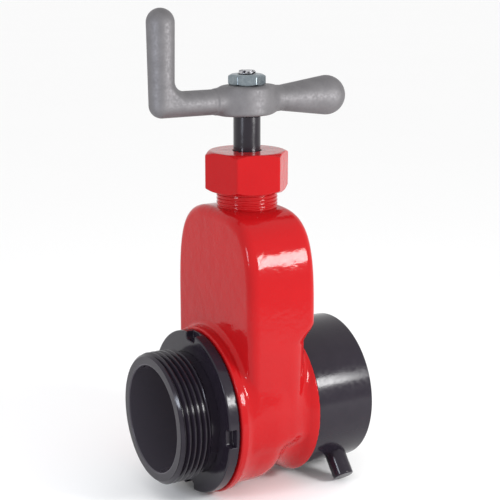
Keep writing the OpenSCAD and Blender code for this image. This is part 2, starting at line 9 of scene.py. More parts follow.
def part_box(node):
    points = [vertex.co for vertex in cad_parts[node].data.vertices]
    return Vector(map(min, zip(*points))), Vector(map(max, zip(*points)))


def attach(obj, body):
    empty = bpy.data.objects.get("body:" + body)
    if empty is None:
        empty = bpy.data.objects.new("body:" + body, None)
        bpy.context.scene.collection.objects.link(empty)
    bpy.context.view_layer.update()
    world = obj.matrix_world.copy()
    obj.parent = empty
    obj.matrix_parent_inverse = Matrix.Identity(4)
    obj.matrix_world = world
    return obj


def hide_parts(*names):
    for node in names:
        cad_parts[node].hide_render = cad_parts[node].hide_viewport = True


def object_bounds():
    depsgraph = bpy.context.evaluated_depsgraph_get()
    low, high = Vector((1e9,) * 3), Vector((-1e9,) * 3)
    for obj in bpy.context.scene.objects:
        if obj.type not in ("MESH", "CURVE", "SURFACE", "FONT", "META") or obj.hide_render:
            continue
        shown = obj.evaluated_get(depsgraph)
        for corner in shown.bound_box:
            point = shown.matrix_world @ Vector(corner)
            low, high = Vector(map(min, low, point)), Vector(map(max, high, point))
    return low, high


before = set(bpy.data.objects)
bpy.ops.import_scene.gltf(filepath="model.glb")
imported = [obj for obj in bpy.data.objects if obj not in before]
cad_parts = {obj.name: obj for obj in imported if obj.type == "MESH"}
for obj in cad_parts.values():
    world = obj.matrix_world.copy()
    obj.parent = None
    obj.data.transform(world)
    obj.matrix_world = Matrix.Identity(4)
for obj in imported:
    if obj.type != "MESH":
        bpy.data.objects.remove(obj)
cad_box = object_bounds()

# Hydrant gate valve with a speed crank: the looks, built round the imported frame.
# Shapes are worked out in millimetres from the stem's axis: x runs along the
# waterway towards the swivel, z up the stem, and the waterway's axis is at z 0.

MM = 0.001
STEM_X = sum(corner.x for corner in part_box("packing_nut")) / 2


def span(node):
    """Lowest and highest corners of a CAD node, in millimetres from the stem's axis."""
    shift = Vector((STEM_X, 0, 0))
    return [(corner - shift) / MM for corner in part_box(node)]


# ---- driving sizes: the ends come from the frame ----

casting_low, casting_high = span("valve_body")
nut_low, nut_high = span("packing_nut")
cap_low, cap_high = span("handle_nut")
stem_low, stem_high = span("stem")
crank_low, crank_high = span("crank_handle")
swivel_low, swivel_high = span("swivel_ring")

OUTLET_HUB, INLET_HUB = -casting_low.x, casting_high.x
RIM_R = casting_high.y
NECK_TOP = casting_high.z
NUT_FOOT, NUT_TOP = nut_low.z, nut_high.z
CAP_FOOT, CAP_TOP = cap_low.z, cap_high.z
STEM_FOOT, STUD_TOP = stem_low.z, stem_high.z
SWIVEL_BACK, SWIVEL_END = swivel_low.x, swivel_high.x
SWIVEL_R = swivel_high.y
OUTLET_END = -span("outlet_adapter")[0].x
SLEEVE_END = span("inlet_adapter")[1].x
SEAT_BACK = span("seat_ring_inlet")[1].x

BORE_R = 31.75
SPIGOT_R = 37.95
STEM_R = 7.95
STUD_R = 5.35

THREAD_PITCH = 3.387
THREAD_DEPTH = 2.2
THREAD_ROOM = 0.19
CREST_R = 38.97
ROOT_R = CREST_R - THREAD_DEPTH


# ---- shape fields: below zero inside, above zero outside, about a distance apart ----

def join(a, b, fillet):
    """Both shapes, with the inner corner between them filled to a radius."""
    inner = np.hypot(np.maximum(fillet - a, 0), np.maximum(fillet - b, 0))
    return np.maximum(np.minimum(a, b), fillet) - inner


def meet(a, b, edge):
    """What both shapes share, with the outer edge between them rounded."""
    outer = np.hypot(np.maximum(a + edge, 0), np.maximum(b + edge, 0))
    return np.minimum(np.maximum(a, b), -edge) + outer


def cut(a, b, edge):
    """The first shape without the second, with the new edge rounded."""
    return meet(a, -b, edge)


def between(value, low, high):
    """A slab from low to high."""
    return np.maximum(low - value, value - high)


def ease(value, low, high):
    """Rises smoothly from 0 at low to 1 at high."""
    t = np.clip((value - low) / (high - low), 0, 1)
    return t * t * (3 - 2 * t)


def round_cone(across, along, start_r, end_r, length):
    """Two balls a length apart and the cone round them; across is the distance from its axis."""
    lean = (start_r - end_r) / length
    flank = math.sqrt(1 - lean * lean)
    side = along * flank - across * lean
    cone = across * flank + along * lean - start_r
    start_ball = np.hypot(across, along) - start_r
    end_ball = np.hypot(across, along - length) - end_r
    return np.where(side < 0, start_ball, np.where(side > flank * length, end_ball, cone))


def arch(y, z, half, rise, spring, power):
    """A square-shouldered arch standing on straight sides, seen along the flow."""
    u = np.abs(y) / half
    v = np.maximum(z - spring, 0) / rise
    size = np.maximum((u**power + v**power) ** (1 / power), 1e-6)
    slope = np.hypot(u ** (power - 1) / half, v ** (power - 1) / rise) / size ** (power - 1)
    return (size - 1) / np.maximum(slope, 1e-6)


# ---- meshes ----

def net(field, low, high, step):
    """Points and quads of the surface where a field is zero, with one point in each cell it
    crosses, pulled onto the surface. Also gives the surface's own directions there."""
    axes = [np.arange(a - 1.5 * step, b + 2.5 * step, step) for a, b in zip(low, high)]
    value = field(*np.meshgrid(*axes, indexing="ij"))
    cells = [len(axis) - 1 for axis in axes]
    total = np.zeros((*cells, 3))
    count = np.zeros(cells)
    edges = []
    for k in range(3):
        here = [slice(None)] * 3
        there = [slice(None)] * 3
        here[k], there[k] = slice(None, -1), slice(1, None)
        a, b = value[tuple(here)], value[tuple(there)]
        at = np.argwhere((a < 0) != (b < 0))
        va, vb = a[tuple(at.T)], b[tuple(at.T)]
        point = at.astype(float)
        point[:, k] += va / (va - vb)
        u, v = (k + 1) % 3, (k + 2) % 3
        keep = (at[:, u] > 0) & (at[:, v] > 0)
        at, point, rising = at[keep], point[keep], (va < 0)[keep]
        corners = []
        for du, dv in ((1, 1), (0, 1), (0, 0), (1, 0)):
            cell = at.copy()
            cell[:, u] -= du
            cell[:, v] -= dv
            corners.append(cell)
            np.add.at(total, tuple(cell.T), point)
            np.add.at(count, tuple(cell.T), 1)
        edges.append((corners, rising))
    used = count > 0
    number = np.cumsum(used.ravel()).reshape(cells) - 1
    start = np.array([axis[0] for axis in axes])
    points = start + step * total[used] / count[used][:, None]
    quads = []
    for corners, rising in edges:
        quad = np.stack([number[tuple(cell.T)] for cell in corners], axis=1)
        quads.append(np.where(rising[:, None], quad, quad[:, ::-1]))
    for _ in range(4):
        height, direction = slope_of(field, points)
        move = np.clip(height, -step, step)
        points -= direction * move[:, None]
    return points, np.concatenate(quads), slope_of(field, points)[1]


def slope_of(field, points, reach=0.02):
    """A field's height at each point, as a distance, and the direction it rises in."""
    rise = np.zeros_like(points)
    for k in range(3):
        step = np.zeros(3)
        step[k] = reach
        ahead, behind = (points + step).T, (points - step).T
        rise[:, k] = (field(*ahead) - field(*behind)) / (2 * reach)
    steep = np.maximum(np.linalg.norm(rise, axis=1), 1e-6)
    return field(*points.T) / steep, rise / steep[:, None]


def new_mesh(name, points, faces):
    """A mesh from points and faces."""
    mesh = bpy.data.meshes.new(name)
    mesh.from_pydata(np.asarray(points).tolist(), [], np.asarray(faces).tolist())
    return mesh


def soft(corners, steps=5):
    """An outline's points from (along, out) corners; a third number rounds that corner."""
    corners = [(c + (0.0,))[:3] if len(c) == 2 else c for c in corners]
    points = []
    for i, (x, r, radius) in enumerate(corners):
        here = np.array([x, r])
        if not radius:
            points.append(here)
            continue
        back = np.array(corners[i - 1][:2]) - here
        ahead = np.array(corners[(i + 1) % len(corners)][:2]) - here
        back, ahead = back / np.linalg.norm(back), ahead / np.linalg.norm(ahead)
        half = math.acos(np.clip(back @ ahead, -1, 1)) / 2
        centre = here + (back + ahead) / np.linalg.norm(back + ahead) * radius / math.sin(half)
        first = here + back * radius / math.tan(half) - centre
        last = here + ahead * radius / math.tan(half) - centre
        turn = math.pi - 2 * half
        for t in np.linspace(0, 1, steps + 1):
            a, b = math.sin((1 - t) * turn), math.sin(t * turn)
            points.append(centre + (a * first + b * last) / math.sin(turn))
    return np.array(points)


def turned(name, outline, columns=144, closed=True):
    """A ring turned about the X axis from an outline of (along, out) points."""
    angle = np.linspace(0, 2 * math.pi, columns, endpoint=False)
    along, out = np.asarray(outline)[:, 0], np.asarray(outline)[:, 1]
    points = np.stack([
        np.repeat(along, columns),
        np.outer(out, np.cos(angle)).ravel(),
        np.outer(out, np.sin(angle)).ravel()], axis=1)
    rows = len(along)
    i, j = np.meshgrid(np.arange(rows if closed else rows - 1), np.arange(columns), indexing="ij")
    below, right = (i + 1) % rows, (j + 1) % columns
    faces = np.stack([i * columns + j, i * columns + right,
                      below * columns + right, below * columns + j], axis=-1)
    return new_mesh(name, points, faces.reshape(-1, 4))


def weld(name, meshes):
    """One closed mesh from several that share their edges, with its faces pointing out."""
    merged = bmesh.new()
    for mesh in meshes:
        merged.from_mesh(mesh)
    bmesh.ops.remove_doubles(merged, verts=merged.verts, dist=0.002)
    bmesh.ops.dissolve_degenerate(merged, edges=merged.edges, dist=0.0005)
    bmesh.ops.recalc_face_normals(merged, faces=merged.faces)
    result = bpy.data.meshes.new(name)
    merged.to_mesh(result)
    merged.free()
    return result


def stood_up(mesh):
    """Turns a mesh made about the X axis so that its axis is Z."""
    mesh.transform(Matrix(((0, 1, 0, 0), (0, 0, 1, 0), (1, 0, 0, 0), (0, 0, 0, 1))))
    return mesh


def shown(name, mesh, body, finish, replaces=(), directions=None, crease=40):
    """Puts a mesh in the frame, gives it its finish and lets it ride on a body."""
    mesh.transform(Matrix.Translation((STEM_X, 0, 0)) @ Matrix.Scale(MM, 4))
    mesh.shade_smooth()
    mesh.materials.clear()
    mesh.materials.append(finish)
    piece = bpy.data.objects.new(name, mesh)
    bpy.context.scene.collection.objects.link(piece)
    if directions is not None:
        mesh.normals_split_custom_set_from_vertices(directions.tolist())
    else:
        mesh.set_sharp_from_angle(angle=math.radians(crease))
        even = piece.modifiers.new("even", "WEIGHTED_NORMAL")
        even.keep_sharp = True
        ready = piece.evaluated_get(bpy.context.evaluated_depsgraph_get())
        piece.data = bpy.data.meshes.new_from_object(ready)
        piece.modifiers.clear()
    piece.data.name = name
    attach(piece, body)
    if replaces:
        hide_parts(*replaces)


def shown_field(name, field, box, step, body, finish, replaces=()):
    """Shows the surface of a field; box is its lowest and highest corner, step the mesh's."""
    points, quads, directions = net(field, *box, step)
    mesh = new_mesh(name, points, quads)
    shown(name, mesh, body, finish, replaces, directions)


# ---- Geometry Nodes ----

# The half turn in the shift starts each thread in a groove; the whole turns keep the sum of
# turns above zero.
ROWS_PER_TURN = 8
PHASE_SHIFT = 8.5


class Tree:
    """Short calls that build a Geometry Nodes tree."""

    def __init__(self, name, sizes):
        """An empty tree whose inputs are given as {label: socket type}."""
        self.group = bpy.data.node_groups.new(name, "GeometryNodeTree")
        self.group.is_modifier = True
        face = self.group.interface
        self.keys = {}
        for label, kind in sizes.items():
            socket = face.new_socket(label, in_out="INPUT", socket_type=kind)
            self.keys[label] = socket.identifier
        face.new_socket("Geometry", in_out="OUTPUT", socket_type="NodeSocketGeometry")
        self.given = self.group.nodes.new("NodeGroupInput").outputs
        self.result = self.group.nodes.new("NodeGroupOutput").inputs["Geometry"]

    def node(self, kind, inputs=(), **settings):
        """A node's outputs; each input is a constant or another node's output."""
        made = self.group.nodes.new(kind)
        for key, value in settings.items():
            setattr(made, key, value)
        for socket, value in dict(inputs).items():
            if isinstance(value, bpy.types.NodeSocket):
                self.group.links.new(value, made.inputs[socket])
            else:
                made.inputs[socket].default_value = value
        return made.outputs

    def math(self, operation, *values):
        """One sum over numbers or outputs."""
        return self.node("ShaderNodeMath", enumerate(values), operation=operation)[0]

    def made(self, name, sizes):
        """The mesh that the tree makes with these sizes."""
        holder = bpy.data.objects.new(name, bpy.data.meshes.new(name))
        bpy.context.scene.collection.objects.link(holder)
        modifier = holder.modifiers.new(name, "NODES")
        modifier.node_group = self.group
        for label, value in sizes.items():
            modifier[self.keys[label]] = value
        ready = holder.evaluated_get(bpy.context.evaluated_depsgraph_get())
        mesh = bpy.data.meshes.new_from_object(ready)
        bpy.data.objects.remove(holder)
        return mesh


def thread_tree():
    """A tube about X whose surface is one true helical thread. Its rows follow the helix, so
    that the crests stay crisp. Side is 1 for an outer thread and -1 for an inner one. The
    thread stands on the base radius and fades into a cone at each end."""
    number, whole = "NodeSocketFloat", "NodeSocketInt"
    tree = Tree("helical_thread", {
        "Base radius": number, "Side": number, "Depth": number, "Pitch": number,
        "Crest share": number, "Start": number, "End": number,
        "Start height": number, "End height": number, "Columns": whole, "Rows": whole,
        "Finish": "NodeSocketMaterial"})
    given, calc = tree.given, tree.math
    grid = tree.node("GeometryNodeMeshGrid", {
        "Size X": 1.0, "Size Y": 1.0, "Vertices X": given["Rows"],
        "Vertices Y": calc("ADD", given["Columns"], 1.0)})["Mesh"]
    place = tree.node("ShaderNodeSeparateXYZ", {0: tree.node("GeometryNodeInputPosition")[0]})
    row = calc("MULTIPLY", calc("ADD", place["X"], 0.5), calc("SUBTRACT", given["Rows"], 1.0))
    share = calc("ADD", place["Y"], 0.5)
    row_turns = calc("ADD", calc("DIVIDE", row, float(ROWS_PER_TURN)), 0.5 / ROWS_PER_TURN)
    turns = calc("SUBTRACT", row_turns, calc("SUBTRACT", 1.0, share))
    raw = calc("ADD", given["Start"], calc("MULTIPLY", turns, given["Pitch"]))
    along = calc("MINIMUM", calc("MAXIMUM", raw, given["Start"]), given["End"])
    from_start = calc("SUBTRACT", along, given["Start"])
    wind = calc("SUBTRACT", calc("DIVIDE", from_start, given["Pitch"]), share)
    phase = calc("FRACT", calc("ADD", wind, PHASE_SHIFT))
    off_crest = calc("ABSOLUTE", calc("SUBTRACT", phase, 0.5))
    flat = calc("MULTIPLY", given["Crest share"], 0.5)
    climb = calc("DIVIDE", calc("SUBTRACT", calc("SUBTRACT", 0.5, flat), off_crest),
                 calc("SUBTRACT", 0.5, given["Crest share"]))
    stand = calc("MULTIPLY", calc("MINIMUM", calc("MAXIMUM", climb, 0.0), 1.0), given["Depth"])
    start_cone = calc("ADD", given["Start height"], from_start)
    end_cone = calc("ADD", given["End height"], calc("SUBTRACT", given["End"], along))
    height = calc("MINIMUM", stand, calc("MINIMUM", start_cone, end_cone))
    radius = calc("ADD", given["Base radius"], calc("MULTIPLY", given["Side"], height))
    angle = calc("MULTIPLY", share, 2 * math.pi)
    point = tree.node("ShaderNodeCombineXYZ", {
        "X": along, "Y": calc("MULTIPLY", radius, calc("COSINE", angle)),
        "Z": calc("MULTIPLY", radius, calc("SINE", angle))})[0]
    wound = tree.node("GeometryNodeSetPosition", {"Geometry": grid, "Position": point})[0]
    closed = tree.node("GeometryNodeMergeByDistance", {"Geometry": wound, "Distance": 0.001})[0]
    real = tree.node("GeometryNodeRealizeInstances", {"Geometry": closed})[0]
    coat = {"Geometry": real, "Material": given["Finish"]}
    coated = tree.node("GeometryNodeSetMaterial", coat)[0]
    tree.group.links.new(coated, tree.result)
    return tree


def threaded(name, tree, finish, base, side, depth, pitch, start, end, start_height, end_height,
             wrap, crest=0.125, columns=144):
    """A thread from start to end, closed by the outline wrap, which runs from its end round to
    its start. Crest is the flat crest's share of the pitch."""
    rows = int(ROWS_PER_TURN * ((end - start) / pitch + 1)) + 2
    thread = tree.made(name, {
        "Base radius": base, "Side": side, "Depth": depth, "Pitch": pitch, "Crest share": crest,
        "Start": start, "End": end, "Start height": start_height, "End height": end_height,
        "Columns": columns, "Rows": rows, "Finish": finish})
    first, last = base + side * start_height, base + side * end_height
    outline = soft([(end, last)] + wrap + [(start, first)])
    return weld(name, [thread, turned(name, outline, columns, closed=False)])


# ---- finishes ----

class Finish:
    """A material with a Principled shader, and short calls for what varies over it."""

    def __init__(self, name, colour, **sockets):
        """An even material; sockets are the shader's, with _ for a space."""
        self.material = bpy.data.materials.new(name)
        self.material.use_nodes = True
        self.nodes = self.material.node_tree.nodes
        self.links = self.material.node_tree.links
        self.shader = self.nodes["Principled BSDF"]
        self.shader.inputs["Base Color"].default_value = (*colour, 1)
        for key, value in sockets.items():
            self.shader.inputs[key.replace("_", " ")].default_value = value
        self.place = self.nodes.new("ShaderNodeTexCoord").outputs["Object"]

    def node(self, kind, inputs=(), **settings):
        """A node's outputs; each input is a constant or another node's output."""
        made = self.nodes.new(kind)
        for key, value in settings.items():
            setattr(made, key, value)
        for socket, value in dict(inputs).items():
            if isinstance(value, bpy.types.NodeSocket):
                self.links.new(value, made.inputs[socket])
            else:
                made.inputs[socket].default_value = value
        return made.outputs

    def noise(self, size_mm, detail=2.0, stretch=(1, 1, 1)):
        """A noise whose patches are about size_mm across."""
        place = self.node("ShaderNodeMapping", {"Vector": self.place, "Scale": stretch})[0]
        sockets = {"Vector": place, "Scale": 1 / (size_mm * MM), "Detail": detail}
        return self.node("ShaderNodeTexNoise", sockets)["Fac"]

    def off_axis(self):
        """Distance from the waterway's axis, in metres."""
        kind = "ShaderNodeVectorMath"
        flat = self.node(kind, {0: self.place, 1: (0, 1, 1)}, operation="MULTIPLY")["Vector"]
        return self.node(kind, {0: flat}, operation="LENGTH")["Value"]

    def graded(self, factor, low, high, start=0.35, end=0.65):
        """A number that goes from low to high as factor goes from start to end."""
        sockets = {"Value": factor, "From Min": start, "From Max": end,
                   "To Min": low, "To Max": high}
        return self.node("ShaderNodeMapRange", sockets)["Result"]

    def mixed(self, factor, first, second):
        """A colour between two, each a colour or another node's output."""
        mix = self.nodes.new("ShaderNodeMix")
        mix.data_type = "RGBA"
        self.links.new(factor, mix.inputs["Factor"])
        ends = [socket for socket in mix.inputs if socket.type == "RGBA"]
        for socket, colour in zip(ends, (first, second)):
            if isinstance(colour, bpy.types.NodeSocket):
                self.links.new(colour, socket)
            else:
                socket.default_value = (*colour, 1)
        return [socket for socket in mix.outputs if socket.type == "RGBA"][0]

    def bumps(self, *layers):
        """Bumps from (height, depth in millimetres) layers, one over the other."""
        normal = None
        for height, depth_mm in layers:
            sockets = {"Height": height, "Distance": depth_mm * MM, "Strength": 1.0}
            if normal is not None:
                sockets["Normal"] = normal
            normal = self.node("ShaderNodeBump", sockets)["Normal"]
        return normal

    def use(self, socket, value):
        """Feeds one of the shader's sockets."""
        self.links.new(value, self.shader.inputs[socket])


def red_enamel():
    """Glossy enamel flowed over a sand casting: soft waves, then a finer orange peel."""
    paint = Finish("red_enamel", (0.40, 0.007, 0.009), Roughness=0.11, Specular_IOR_Level=0.17)
    tone = paint.noise(18.0, 3.0)
    paint.use("Base Color", paint.mixed(tone, (0.42, 0.007, 0.009), (0.37, 0.006, 0.008)))
    waves, peel = paint.noise(7.0, 1.0), paint.noise(2.0, 2.0)
    paint.use("Normal", paint.bumps((waves, 0.22), (peel, 0.09)))
    return paint.material


def black_coat():
    """Hard black coat over machined metal, with faint turning lines and a soft mottle; inside the
    bore its colour is painted paler, a painted light standing in for light that the deep bore
    doesn't get."""
    coat = Finish("black_coat", (0.015, 0.012, 0.018), Roughness=0.18, Specular_IOR_Level=0.26)
    mottle = coat.mixed(coat.noise(7.0, 3.0), (0.012, 0.009, 0.015), (0.018, 0.014, 0.021))
    # Painted light: inside the bore the base colour is painted paler, fading to the plain coat
    # just outside the bore's radius.
    bore_edge, painted_light_end = (BORE_R + 0.2) * MM, (BORE_R + 1.2) * MM
    outside = coat.graded(coat.off_axis(), 0, 1, bore_edge, painted_light_end)
    coat.use("Base Color", coat.mixed(outside, (0.056, 0.050, 0.062), mottle))
    coat.use("Roughness", coat.graded(coat.noise(2.5, 4.0), 0.13, 0.23))
    lines = coat.noise(0.5, 2.0, stretch=(1, 0.04, 0.04))
    coat.use("Normal", coat.bumps((lines, 0.004), (coat.noise(1.2, 3.0), 0.022)))
    return coat.material


def black_stem():
    """Glossy black stem."""
    coat = Finish("black_stem", (0.009, 0.006, 0.011), Roughness=0.2, Specular_IOR_Level=0.4)
    coat.use("Roughness", coat.graded(coat.noise(3.0, 3.0), 0.16, 0.26))
    coat.use("Normal", coat.bumps((coat.noise(4.0, 2.0), 0.02)))
    return coat.material


def worn_stud():
    """Threaded end of the stem: its black coat worn through to bright steel in patches."""
    steel = Finish("worn_stud", (0.25, 0.25, 0.26), Metallic=1.0, Roughness=0.3)
    worn = steel.graded(steel.noise(2.2, 2.0), 0, 1, 0.44, 0.54)
    steel.use("Base Color", steel.mixed(worn, (0.015, 0.013, 0.017), (0.48, 0.48, 0.50)))
    steel.use("Roughness", steel.graded(steel.noise(0.9, 3.0), 0.22, 0.40))
    return steel.material


def cast_aluminium():
    """Tumbled aluminium casting: satin, with a fine grain and faint darker clouds."""
    metal = Finish("cast_aluminium", (0.20, 0.193, 0.20), Metallic=0.8, Roughness=0.55,
                   Specular_IOR_Level=0.4)
    clouds = metal.noise(6.0, 4.0)
    metal.use("Base Color", metal.mixed(clouds, (0.15, 0.145, 0.151), (0.225, 0.218, 0.225)))
    metal.use("Roughness", metal.graded(metal.noise(1.5, 4.0), 0.56, 0.70))
    metal.use("Normal", metal.bumps((metal.noise(5.0, 2.0), 0.05), (metal.noise(0.5, 3.0), 0.02)))
    return metal.material


def zinc_plate():
    """Zinc plate with a cool tint."""
    metal = Finish("zinc_plate", (0.24, 0.28, 0.31), Metallic=1.0, Roughness=0.34)
    spangle = metal.noise(2.5, 3.0)
    metal.use("Base Color", metal.mixed(spangle, (0.14, 0.175, 0.20), (0.31, 0.35, 0.37)))
    metal.use("Roughness", metal.graded(metal.noise(0.9, 3.0), 0.25, 0.42))
    metal.use("Normal", metal.bumps((metal.noise(0.4, 3.0), 0.008)))
    return metal.material


def bronze():
    """Machined bronze with fine tool lines and a slight tarnish."""
    metal = Finish("bronze", (0.40, 0.25, 0.11), Metallic=1.0, Roughness=0.32)
    tarnish = metal.noise(7.0, 4.0)
    metal.use("Base Color", metal.mixed(tarnish, (0.32, 0.19, 0.08), (0.46, 0.30, 0.15)))
    metal.use("Roughness", metal.graded(metal.noise(2.0, 3.0), 0.26, 0.42))
    metal.use("Normal", metal.bumps((metal.noise(0.4, 2.0), 0.008)))
    return metal.material


def plain(name, colour, rough, metallic, grain_mm, depth_mm):
    """A simple finish whose colour, gloss and surface vary a little with its grain."""
    made = Finish(name, colour, Metallic=metallic, Roughness=rough)
    grain = made.noise(grain_mm, 3.0)
    dark = tuple(0.75 * c for c in colour)
    made.use("Base Color", made.mixed(grain, dark, colour))
    made.use("Roughness", made.graded(grain, rough * 0.85, min(rough * 1.15, 1.0)))
    made.use("Normal", made.bumps((grain, depth_mm)))
    return made.material


def pale_floor():
    """Plain matt white paper with hardly any tone of its own."""
    paper = Finish("floor", (0.96, 0.96, 0.96), Roughness=1.0, Specular_IOR_Level=0.1)
    cloud = paper.noise(400.0, 1.0)
    paper.use("Base Color", paper.mixed(cloud, (0.955, 0.955, 0.955), (0.965, 0.965, 0.965)))
    return paper.material


RED = red_enamel()
BLACK = black_coat()
STEM_BLACK = black_stem()
WORN_STUD = worn_stud()
ALUMINIUM = cast_aluminium()
ZINC = zinc_plate()
BRONZE = bronze()
STEEL = plain("steel_ball", (0.6, 0.6, 0.62), 0.15, 1.0, 3.0, 0.002)
RUBBER = plain("gasket_rubber", (0.035, 0.033, 0.032), 0.62, 0.0, 0.8, 0.02)
YARN = plain("packing_yarn", (0.33, 0.31, 0.26), 0.85, 0.0, 0.9, 0.12)


# ---- casting ----

BARREL_R = RIM_R - 2.8
GROOVE_R = BARREL_R - 5.3
TAIL_R = BARREL_R + 0.3
HUB_EDGE = 0.9

BONNET_HALF_T = 22.25
BONNET_SHIFT = -1.55
BONNET_HALF_W = 46
BONNET_TOP = NECK_TOP - 25.2
BONNET_DROP = 15
ARCH_RISE = 68.5
ARCH_POWER = 3.5
ARCH_SPRING = BONNET_TOP - ARCH_RISE
BARREL_FILLET = 5.0

NECK_CORE_R = 17.4
NECK_FOOT = BONNET_TOP - 7
NECK_ROOT = BONNET_TOP - 10
NECK_FILLET = 0.6
NECK_THREAD_DEPTH = 0.6
NECK_THREAD_PITCH = 2.1
NECK_THREAD_CREST = 0.35

ROOM_HALF_T = 12
ROOM_HALF_W = 38.75
ROOM_RISE = 64.2
SEAT_BORE_R = 36
SOCKET_R = 38
STEM_WAY_R = 8
STEM_WAY_FOOT = 45
PACKING_R = 12
PACKING_DEPTH = 23


def barrel_radius(x):
    """The round casting's radius: hub rim, hollow fall, barrel, nose, rear groove and flare."""
    rim_width, sweep = 4, 26
    nose_x, nose_round = -9, 17.4
    groove_x, flare_run = 9, 8.5
    rim_back = rim_width - OUTLET_HUB
    fall_x = rim_back + math.sqrt(sweep**2 - (sweep - (RIM_R - BARREL_R)) ** 2)
    nose_r = BARREL_R - nose_round
    reach, deep = groove_x - nose_x, GROOVE_R - nose_r
    valley = (reach**2 + deep**2 - nose_round**2) / (2 * (nose_round - deep))
    meet_x = nose_x + nose_round * reach / math.hypot(reach, deep + valley)
    flare_x = groove_x + flare_run
    flare_r = GROOVE_R + valley - math.sqrt(valley**2 - flare_run**2)
    fall = BARREL_R + sweep - np.sqrt(np.maximum(sweep**2 - (x - fall_x) ** 2, 0))
    nose = nose_r + np.sqrt(np.maximum(nose_round**2 - (x - nose_x) ** 2, 0))
    groove = GROOVE_R + valley - np.sqrt(np.maximum(valley**2 - (x - groove_x) ** 2, 0))
    flare_slope = flare_run / math.sqrt(valley**2 - flare_run**2)
    flare_end = (TAIL_R - flare_r) * math.pi / 2 / flare_slope
    turn = np.clip((x - flare_x) / flare_end, 0, 1) * math.pi / 2
    flare = flare_r + (TAIL_R - flare_r) * np.sin(turn)
    return np.select(
        [x < rim_back, x < fall_x, x < nose_x, x < meet_x, x < flare_x],
        [RIM_R + 0 * x, fall, BARREL_R + 0 * x, nose, groove], flare)


def barrel(x, y, z):
    """The round casting, from one hub's face to the other's."""
    reach = 0.1
    slope = (barrel_radius(x + reach) - barrel_radius(x - reach)) / (2 * reach)
    side = (np.hypot(y, z) - barrel_radius(x)) / np.hypot(1, slope)
    return meet(side, between(x, -OUTLET_HUB, INLET_HUB), HUB_EDGE)


def bonnet(x, y, z):
    """Arched bonnet. Below its shoulder the inlet side steps in and its corners grow round."""
    tight, wide, foot_edge = 6.0, 16.0, 8.0
    step_foot, step_top, step_in = ARCH_SPRING - 8, ARCH_SPRING + 5, 2.2
    upper = ease(z, step_foot, step_top)
    front = BONNET_SHIFT - BONNET_HALF_T
    back = BONNET_SHIFT + BONNET_HALF_T - step_in * (1 - upper)
    corner = np.where(x < BONNET_SHIFT, tight, wide - (wide - tight) * upper)
    sides = arch(y, z, BONNET_HALF_W, ARCH_RISE, ARCH_SPRING, ARCH_POWER)
    body = meet(between(x, front, back), sides, corner)
    return meet(body, -BONNET_DROP - z, foot_edge)


def chamber(x, y, z):
    """Everything hollow inside the casting."""
    out = np.hypot(y, z)
    off_stem = np.hypot(x, y)
    slot = np.maximum(arch(y, z, ROOM_HALF_W, ROOM_RISE, ARCH_SPRING, ARCH_POWER), -z)
    gate_room = np.minimum(slot, out - SEAT_BORE_R)
    gate_room = np.maximum(gate_room, between(x, -ROOM_HALF_T, ROOM_HALF_T))
    seat_bore = np.maximum(out - SEAT_BORE_R, between(x, -SEAT_BACK, SEAT_BACK))
    sockets = np.maximum(out - SOCKET_R, SEAT_BACK - np.abs(x))
    stem_bore = np.maximum(off_stem - STEM_WAY_R, STEM_WAY_FOOT - z)
    stuffing_box = np.maximum(off_stem - PACKING_R, NECK_TOP - PACKING_DEPTH - z)
    hollow = np.minimum(np.minimum(gate_room, seat_bore), sockets)
    return np.minimum(hollow, np.minimum(stem_bore, stuffing_box))


def casting(x, y, z):
    """Barrel, bonnet and the plain core of the neck, hollowed."""
    neck = np.maximum(np.hypot(x, y) - NECK_CORE_R, between(z, NECK_ROOT, NECK_TOP))
    outside = join(barrel(x, y, z), bonnet(x, y, z), BARREL_FILLET)
    outside = join(outside, neck, NECK_FILLET)
    return np.maximum(outside, -chamber(x, y, z))


def neck_thread():
    """The packing nut's thread, a skin over the neck's core."""
    inner = NECK_CORE_R - 0.6
    wrap = [(NECK_TOP, inner), (NECK_FOOT, inner)]
    return threaded("neck_thread", THREAD, RED, NECK_CORE_R, 1, NECK_THREAD_DEPTH,
                    NECK_THREAD_PITCH, NECK_FOOT, NECK_TOP, 0.0, 0.0, wrap,
                    crest=NECK_THREAD_CREST, columns=120)


THREAD = thread_tree()
shown_field("casting", casting, span("valve_body"), 1.1, "valve", RED,
            ["valve_body"])
shown("neck_thread", stood_up(neck_thread()), "valve", RED)


# ---- nuts ----

NUT_HALF = 22.225
NUT_TURN = -42.4
NUT_TRIM_R = 22.2
NUT_THREAD_R = 18.05
NUT_THREAD_TOP = NECK_TOP + 2.2

CAP_HALF = 9.525
CAP_TOP_TRIM_R = 8.9
CAP_FOOT_TRIM_R = 9.6


def hexagon(x, y, half, turn, edge):
    """A hexagonal bar about Z; turn is the angle of its first corner from the -Y side."""
    sides = []
    for k in range(3):
        a = math.radians(turn + 30 + 60 * k)
        sides.append(np.abs(x * math.sin(a) - y * math.cos(a)) - half)
    return meet(meet(sides[0], sides[1], edge), sides[2], edge)


def chamfer(out, height, trim):
    """A 30 degree cone that trims a nut's corners outside the radius trim."""
    return height * math.cos(math.pi / 6) + (out - trim) * 0.5


def packing_nut(x, y, z):
    """The red nut, chamfered at both ends, with the neck's bore and the stem's hole."""
    stem_gap, corner, edge, face_edge, thread_edge = 0.5, 0.7, 0.5, 0.6, 0.4
    out = np.hypot(x, y)
    bar = hexagon(x, y, NUT_HALF, NUT_TURN, corner)
    bar = meet(bar, chamfer(out, z - NUT_TOP, NUT_TRIM_R), edge)
    bar = meet(bar, chamfer(out, NUT_FOOT - z, NUT_TRIM_R), edge)
    bar = meet(bar, between(z, NUT_FOOT, NUT_TOP), face_edge)
    bar = cut(bar, np.maximum(out - NUT_THREAD_R, z - NUT_THREAD_TOP), thread_edge)
    return cut(bar, out - STEM_R - stem_gap, edge)


